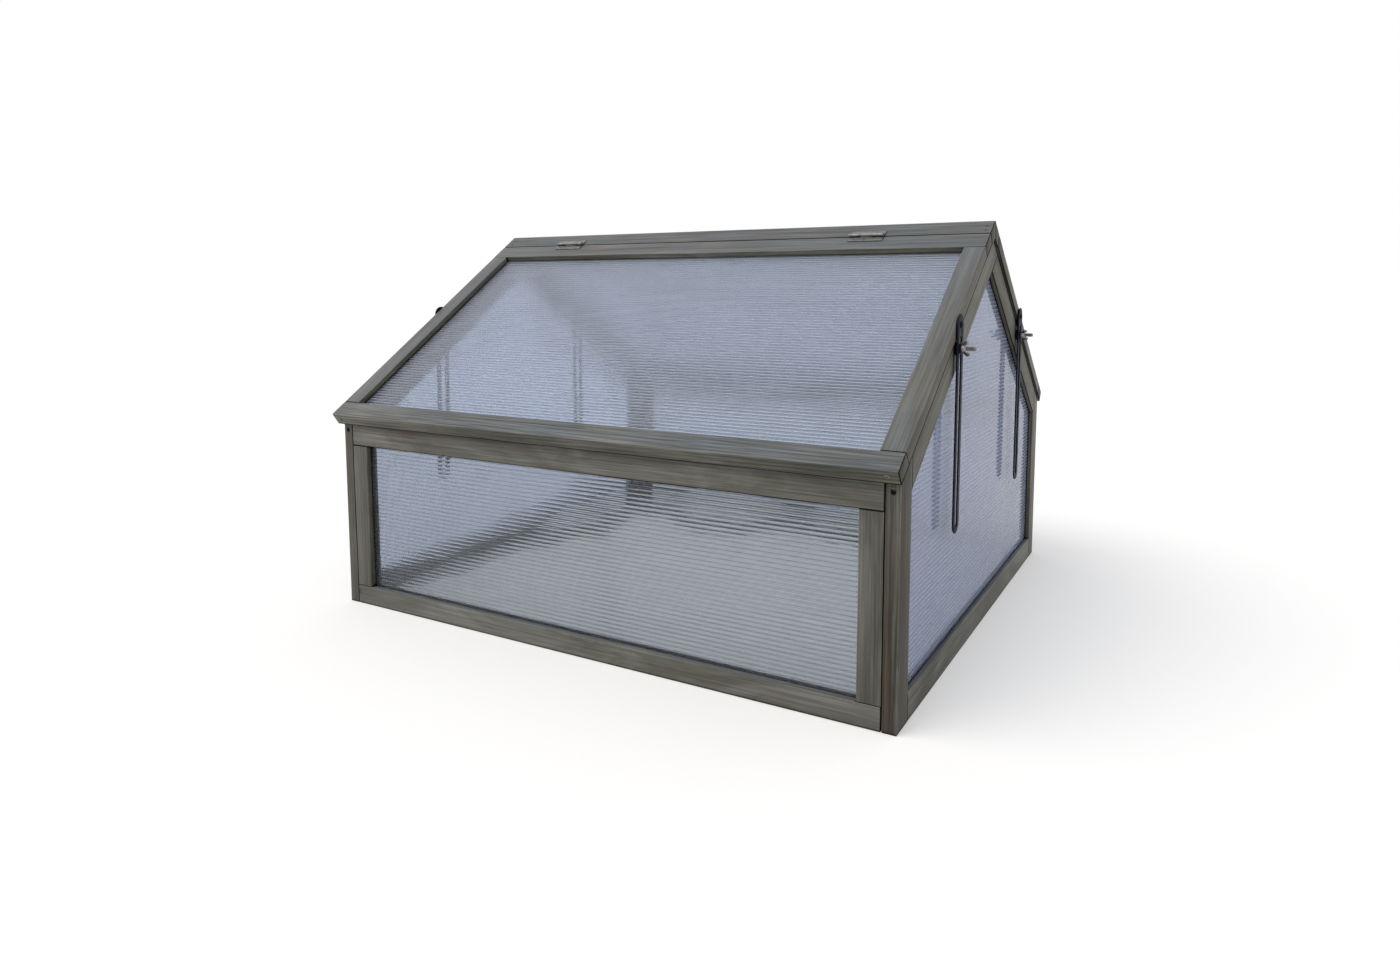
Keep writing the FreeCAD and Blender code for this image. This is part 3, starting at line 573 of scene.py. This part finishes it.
# screws and bolts stand on Z with the top of the head at z = 0 and the shank below it
screwLook = {
    "sides": 28,
    "recessArm": 0.55,                          # of the head's radius
    "recessWide": 0.19,
    "recessDeep": 0.55,                         # of the head's height
    "threadSteps": 12,
    "threadRise": 0.47,                         # half the foot of a thread's ridge, of the pitch
    "fineThread": 0.45,                         # depth of a machine thread, of the pitch
    "coarsePitch": 0.0015,                      # from here on it is a wood screw,
    "coarseThread": 0.0004,                     # whose thread is this deep
    "tipBevel": 0.45,                           # of the core's radius
    # steps from the shank up to the top of the head: share of its height, and growth
    "countersunk": ((0.84, "rim"), (0.10, 1.0), (0.06, 0.96)),
    "domed": ((0.0, "rim"), (0.30, 0.985), (0.30, 0.93), (0.24, 0.8), (0.16, 0.6)),
}


def threadRidge(crest, depth, pitch, low, high):
    deselectAll()
    bpy.ops.mesh.primitive_circle_add(vertices=4, radius=1, rotation=(math.radians(90), 0, 0))
    ridge = bpy.context.object
    bpy.ops.object.transform_apply(location=False, rotation=True, scale=False)
    rise = pitch * screwLook["threadRise"]
    ridge.scale = (depth, 1, rise)
    ridge.location = (crest - depth, 0, low + rise)
    bpy.ops.object.transform_apply()
    winding = ridge.modifiers.new("winding", "SCREW")
    winding.angle = 2 * math.pi
    winding.screw_offset = pitch
    winding.iterations = max(1, int((high - low - 2 * rise) / pitch))
    winding.steps = screwLook["threadSteps"]
    winding.render_steps = screwLook["threadSteps"]
    bpy.ops.object.modifier_apply(modifier=winding.name)
    return ridge


def makeScrew(headRadius, headDeep, head, shankRadius, length, threadHigh, pitch, recess):
    depth = screwLook["coarseThread"]
    if pitch < screwLook["coarsePitch"]:
        depth = pitch * screwLook["fineThread"]
    core = shankRadius - depth
    deselectAll()
    bpy.ops.mesh.primitive_cylinder_add(vertices=screwLook["sides"], radius=core,
                                        depth=length - headDeep,
                                        location=(0, 0, -(length + headDeep) / 2))
    screw = bpy.context.object
    bpy.ops.object.transform_apply()
    bpy.ops.object.mode_set(mode="EDIT")
    bpy.ops.mesh.select_mode(type="FACE")
    selectFaces(screw, lambda face: face.normal.z > 0.9)
    for lift, grow in screwLook[head]:
        stepUp(headDeep * lift, headRadius / core if grow == "rim" else grow)
    # the point, or the chamfered end of a bolt
    selectFaces(screw, lambda face: face.normal.z < -0.9
                and face.calc_center_median().z < -0.99 * length)
    bpy.ops.mesh.bevel(offset=core * screwLook["tipBevel"], segments=2, affect="EDGES")
    bpy.ops.object.mode_set(mode="OBJECT")
    if recess:
        arm, wide = headRadius * screwLook["recessArm"], headRadius * screwLook["recessWide"]
        deep = headDeep * screwLook["recessDeep"]
        for turn in (0, 90):
            deselectAll()
            bpy.ops.mesh.primitive_cube_add(size=2, rotation=(0, 0, math.radians(turn)))
            blade = bpy.context.object
            blade.scale = (arm, wide, deep)
            bpy.ops.object.transform_apply()
            cutting = screw.modifiers.new("recess", "BOOLEAN")
            cutting.operation = "DIFFERENCE"
            cutting.solver = "EXACT"
            cutting.object = blade
            pick(screw)
            bpy.ops.object.modifier_apply(modifier=cutting.name)
            bpy.data.objects.remove(blade)
    ridge = threadRidge(shankRadius, depth, pitch, -length + core * 0.5, threadHigh)
    pick(screw)
    ridge.select_set(True)
    bpy.ops.object.join()
    return screw


def looseParts(node):
    shape = bmesh.new()
    shape.from_mesh(cadNodes[node].data)
    bmesh.ops.remove_doubles(shape, verts=shape.verts, dist=mergeDistance)
    waiting = set(shape.verts)
    parts = []
    while waiting:
        first = waiting.pop()
        reached, found = [first], [first.co.copy()]
        while reached:
            for edge in reached.pop().link_edges:
                for vertex in edge.verts:
                    if vertex in waiting:
                        waiting.remove(vertex)
                        reached.append(vertex)
                        found.append(vertex.co.copy())
        parts.append(found)
    shape.free()
    return sorted(parts, key=lambda part: tuple(round(value, 5) for value in part[0]))


def longAxis(points, middle, rounds=60):
    spread = Matrix(((0,) * 3,) * 3)
    for point in points:
        away = point - middle
        for row in range(3):
            for column in range(3):
                spread[row][column] += away[row] * away[column]
    axis = Vector((0.3, 0.5, 0.8))
    for turn in range(rounds):
        axis = (spread @ axis).normalized()
    return axis


def screwSeat(points, axis=None):
    # where the head's top is, which way it faces, how long the screw is and how wide its head
    middle = sum(points, Vector()) / len(points)
    axis = Vector(axis) if axis else longAxis(points, middle)
    heights = [axis.dot(point - middle) for point in points]
    widths = [(point - middle - axis * height).length for point, height in zip(points, heights)]
    widest = heights[widths.index(max(widths))]
    if abs(widest - min(heights)) < abs(widest - max(heights)):
        axis = -axis
        heights = [-height for height in heights]
    top = middle + axis * max(heights)
    return top, axis, max(heights) - min(heights), max(widths)


# one entry for each CAD node that holds screws or bolts
fastenings = {
    "frame_screws": {"head": "countersunk", "deep": 0.5, "shank": 0.5, "pitch": 0.0022,
                     "thread": 0.6, "material": "leaf", "slot": "zinc_steel"},
    "hinge_screws": {"head": "countersunk", "deep": 0.5, "shank": 0.5, "pitch": 0.0014,
                     "thread": 0.8, "material": "leaf", "slot": "zinc_steel"},
    "pivot_screw": {"head": "domed", "deep": 0.4, "shank": 0.489, "pitch": 0.0008,
                    "thread": 0.9, "material": "black", "slot": "black_steel", "axis": (1, 0, 0)},
    "stay_bolts": {"head": "domed", "deep": 0.5, "shank": 0.4286, "pitch": 0.001,
                   "thread": 0.56, "material": "leaf", "slot": "zinc_steel", "axis": (1, 0, 0),
                   "plain": True},
}


def fitScrews(node, look):
    masters = {}
    copies = []
    for points in looseParts(node):
        top, axis, length, radius = screwSeat(points, look.get("axis"))
        key = round(length, 4)
        if key not in masters:
            masters[key] = makeScrew(radius, radius * look["deep"], look["head"],
                                     radius * look["shank"], length,
                                     -length * (1 - look["thread"]), look["pitch"],
                                     not look.get("plain"))
        copied = masters[key].copy()
        copied.data = masters[key].data.copy()
        scene.collection.objects.link(copied)
        copied.matrix_world = (Matrix.Translation(top)
                               @ axis.to_track_quat("Z", "Y").to_matrix().to_4x4()
                               @ Matrix.Rotation(random.uniform(0, math.pi), 4, "Z"))
        copies.append(copied)
    for master in masters.values():
        bpy.data.objects.remove(master)
    deselectAll()
    for copied in copies:
        copied.select_set(True)
    bpy.context.view_layer.objects.active = copies[0]
    if len(copies) > 1:
        bpy.ops.object.join()
    bpy.ops.object.transform_apply()
    piece = bpy.context.object
    piece.name = node + "_threaded"
    finishPiece(piece, steel[look["material"]], node, 35)


random.seed(23)
for node in sorted(cadNodes):
    for ending, look in fastenings.items():
        if node.endswith(ending):
            fitScrews(node, look)
print("screws and bolts fitted")


# camera: solved from the corners of the frame in the photograph
cameraPlace = {
    "at": (0.73567, -1.32552, 0.49173),
    "yaw": -0.51524,
    "down": 0.09882,
    "roll": math.radians(0.029),
    "lens": 23.229,
    "shift": (-0.00872, -0.07358),
    "sensor": 36,
}


def addCamera():
    data = bpy.data.cameras.new("camera")
    camera = bpy.data.objects.new("camera", data)
    scene.collection.objects.link(camera)
    yaw, down = cameraPlace["yaw"], cameraPlace["down"]
    ahead = Vector((math.sin(yaw) * math.cos(down), math.cos(yaw) * math.cos(down),
                    -math.sin(down)))
    right = ahead.cross(Vector((0, 0, 1))).normalized()
    up = right.cross(ahead)
    turned = Matrix((right, up, -ahead)).transposed()
    turned = turned @ Matrix.Rotation(-cameraPlace["roll"], 3, "Z")
    camera.matrix_world = Matrix.Translation(cameraPlace["at"]) @ turned.to_4x4()
    data.sensor_width = cameraPlace["sensor"]
    data.lens = cameraPlace["lens"]
    data.shift_x, data.shift_y = cameraPlace["shift"]
    data.clip_end = 100
    scene.camera = camera


addCamera()


# studio: white surroundings and one broad soft light from the front left and above
studio = {
    "ambient": (0.58, 0.60, 0.645, 1.0),        # a little cool, which tints the shaded sides
    "key": {"from": (-0.42, -0.5, 0.76), "softness": 55, "strength": 1.5,
            "colour": (1.0, 0.985, 0.955)},
    "floorRadius": 40.0,
    "floorBelow": 0.0002,                       # so that it doesn't fight the timbers' feet
    "floorColour": (0.82, 0.80, 0.765, 1.0),    # evens out the cool ambient light
    "floorGlow": 0.3,                           # lifts the open floor to white
}


def seenDirectly(tree):
    path = addNode(tree, "ShaderNodeLightPath").outputs
    return calculate(tree, "MAXIMUM", path["Is Camera Ray"],
                     calculate(tree, "MAXIMUM", path["Is Glossy Ray"],
                               path["Is Transmission Ray"]))


def addStudio():
    world = bpy.data.worlds.new("studio")
    scene.world = world
    world.use_nodes = True
    tree = world.node_tree
    tree.nodes.clear()
    colour = mixColour(tree, seenDirectly(tree), studio["ambient"], (1.0, 1.0, 1.0, 1.0))
    back = addNode(tree, "ShaderNodeBackground", {"Color": colour})
    out = addNode(tree, "ShaderNodeOutputWorld")
    tree.links.new(back.outputs[0], out.inputs["Surface"])

    key = studio["key"]
    data = bpy.data.lights.new("key", "SUN")
    data.angle = math.radians(key["softness"])
    data.energy = key["strength"]
    data.color = key["colour"]
    lamp = bpy.data.objects.new("key", data)
    scene.collection.objects.link(lamp)
    lamp.matrix_world = Vector(key["from"]).to_track_quat("Z", "Y").to_matrix().to_4x4()

    deselectAll()
    bpy.ops.mesh.primitive_circle_add(vertices=96, radius=studio["floorRadius"],
                                      fill_type="NGON",
                                      location=(0, 0, -studio["floorBelow"]))
    floor = bpy.context.object
    floor.name = "floor"
    material, tree = newMaterial("pale_floor")
    lit = addNode(tree, "ShaderNodeBsdfDiffuse", {"Color": studio["floorColour"]})
    path = addNode(tree, "ShaderNodeLightPath").outputs
    inView = calculate(tree, "MAXIMUM", path["Is Camera Ray"], path["Is Glossy Ray"])
    glow = addNode(tree, "ShaderNodeEmission",
                   {"Color": (1, 1, 1, 1),
                    "Strength": calculate(tree, "MULTIPLY", inView, studio["floorGlow"])})
    finishMaterial(tree, addNode(tree, "ShaderNodeAddShader",
                                 {0: lit.outputs[0], 1: glow.outputs[0]}))
    floor.data.materials.append(material)


addStudio()
scene.view_settings.view_transform = "Standard"
print("studio and camera set")
